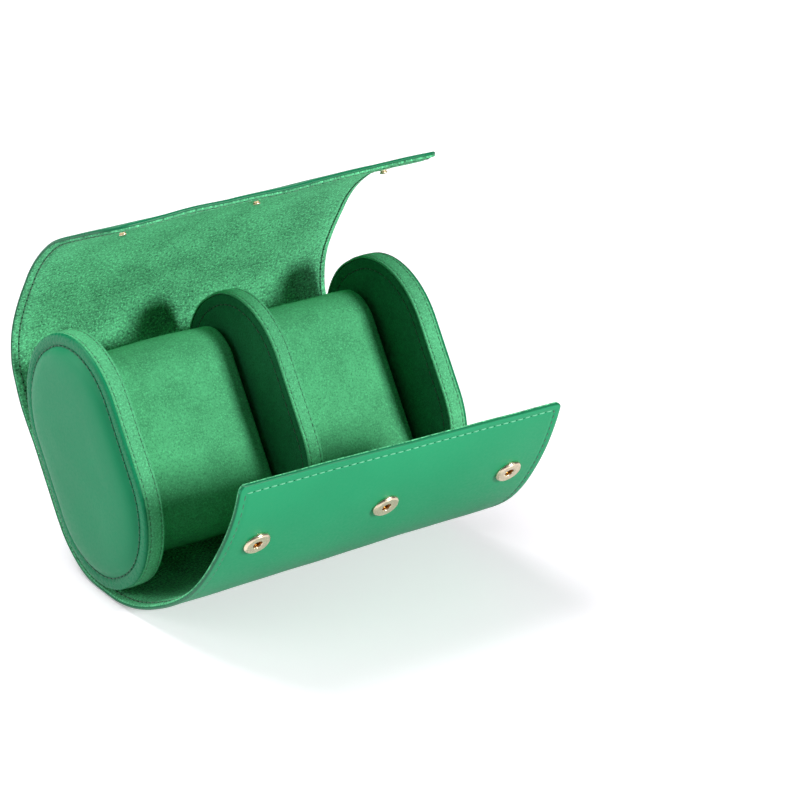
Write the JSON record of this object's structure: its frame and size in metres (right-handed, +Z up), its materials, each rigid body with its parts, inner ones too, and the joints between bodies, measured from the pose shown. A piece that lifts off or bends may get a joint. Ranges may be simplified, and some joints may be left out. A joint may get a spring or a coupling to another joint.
{
  "type": "watch travel case",
  "caption": "Open two-compartment travel case: a leather wrap with a suede lining round two end caps and a divider, snap-fastened lid and front, lift-out pillows.",
  "frame": {"origin": "middle of the flat that the case stands on, under its lower back corner, half way along the case", "axes": "+X along the case to the right, +Y to the back, +Z up, with the case leaning back 33 degrees as it stands open"},
  "size_m": [0.1448, 0.1569, 0.1477],
  "materials": {
    "leather": "satin",
    "facing_leather": "satin",
    "suede": "matte",
    "stiffening_board": "matte",
    "former_board": "matte",
    "foam": "matte",
    "gold_metal": "polished",
    "spring_steel": "satin"
  },
  "bodies": {
    "case": {"back_leather": "leather", "back_board": "stiffening_board", "back_lining": "suede", "left_cap_core": "stiffening_board", "left_cap_band": "suede", "left_cap_facing": "facing_leather", "left_cap_pad": "foam", "left_cap_cover": "leather", "right_cap_core": "stiffening_board", "right_cap_band": "suede", "right_cap_facing": "facing_leather", "right_cap_pad": "foam", "right_cap_cover": "leather", "divider_core": "stiffening_board", "divider_band": "suede", "divider_left_facing": "facing_leather", "divider_right_facing": "facing_leather"},
    "lid_rear": {"lid_rear_leather": "leather", "lid_rear_board": "stiffening_board", "lid_rear_lining": "suede"},
    "lid_crown": {"lid_crown_leather": "leather", "lid_crown_board": "stiffening_board", "lid_crown_lining": "suede"},
    "lid_front": {"lid_front_leather": "leather", "lid_front_board": "stiffening_board", "lid_front_lining": "suede", "snap_studs": "gold_metal", "stud_rivets": "gold_metal"},
    "front_lower": {"front_lower_leather": "leather", "front_lower_board": "stiffening_board", "front_lower_lining": "suede"},
    "front_middle": {"front_middle_leather": "leather", "front_middle_board": "stiffening_board", "front_middle_lining": "suede"},
    "front_upper": {"front_upper_leather": "leather", "front_upper_board": "stiffening_board", "front_upper_lining": "suede", "snap_sockets": "gold_metal", "socket_springs": "spring_steel", "socket_eyelets": "gold_metal"},
    "left_pillow": {"left_pillow_former": "former_board", "left_pillow_foam": "foam", "left_pillow_sleeve": "suede", "left_pillow_ends": "suede"},
    "right_pillow": {"right_pillow_former": "former_board", "right_pillow_foam": "foam", "right_pillow_sleeve": "suede", "right_pillow_ends": "suede"}
  },
  "joints": [
    {"name": "lid_hinge", "type": "hinge", "parent": "case", "child": "lid_rear", "pos_m": [0, 0.04401, 0.04131], "axis": [-1, 0, 0], "range_deg": [-22, 35]},
    {"name": "lid_fold", "type": "hinge", "parent": "lid_rear", "child": "lid_crown", "pos_m": [0, 0.0427, 0.10672], "axis": [-1, 0, 0], "range_deg": [-28, 6]},
    {"name": "lid_front_fold", "type": "hinge", "parent": "lid_crown", "child": "lid_front", "pos_m": [0, 0.01932, 0.12978], "axis": [-1, 0, 0], "range_deg": [-28, 6]},
    {"name": "front_hinge", "type": "hinge", "parent": "case", "child": "front_lower", "pos_m": [0, -0.01422, 0.00055], "axis": [1, 0, 0], "range_deg": [-20.31, 5]},
    {"name": "front_fold", "type": "hinge", "parent": "front_lower", "child": "front_middle", "pos_m": [0, -0.04239, 0.00988], "axis": [1, 0, 0], "range_deg": [-22.5, 5.54]},
    {"name": "front_upper_fold", "type": "hinge", "parent": "front_middle", "child": "front_upper", "pos_m": [0, -0.05952, 0.01972], "axis": [1, 0, 0], "range_deg": [-22.5, 5.54]},
    {"name": "left_pillow_slide", "type": "slide", "parent": "case", "child": "left_pillow", "axis": [0, -0.7314, 0.682], "range_m": [0, 0.13]},
    {"name": "right_pillow_slide", "type": "slide", "parent": "case", "child": "right_pillow", "axis": [0, -0.7314, 0.682], "range_m": [0, 0.13]}
  ],
  "couplings": [
    {"joint": "lid_front_fold", "follows": "lid_fold", "ratio": 1},
    {"joint": "front_fold", "follows": "front_hinge", "ratio": 1.108},
    {"joint": "front_upper_fold", "follows": "front_hinge", "ratio": 1.108}
  ]
}
